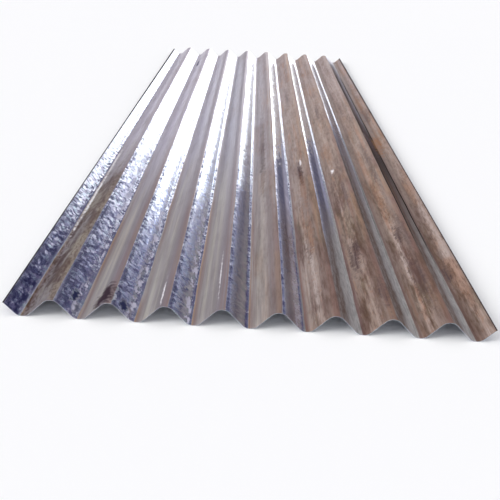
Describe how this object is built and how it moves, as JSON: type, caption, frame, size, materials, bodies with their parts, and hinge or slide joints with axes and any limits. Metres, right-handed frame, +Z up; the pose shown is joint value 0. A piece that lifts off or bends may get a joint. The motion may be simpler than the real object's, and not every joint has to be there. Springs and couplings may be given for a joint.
{
  "type": "corrugated metal sheet",
  "caption": "Roll-formed sheet of galvanised steel with round waves along its length, for roofs, walls and fences, lying flat on its valleys.",
  "frame": {"origin": "under the middle of the sheet, on the plane that its valleys lie on", "axes": "+Y along the waves, away from the viewer of the picture; +X across the waves, to the right; +Z up"},
  "size_m": [0.6608, 2.4384, 0.0259],
  "materials": {
    "galvanised_steel": "hot-dip zinc with a spangle, satin, with brown storage stain on the slopes that face left"
  },
  "bodies": {
    "root": {"corrugated_sheet": "galvanised_steel"}
  },
  "joints": []
}
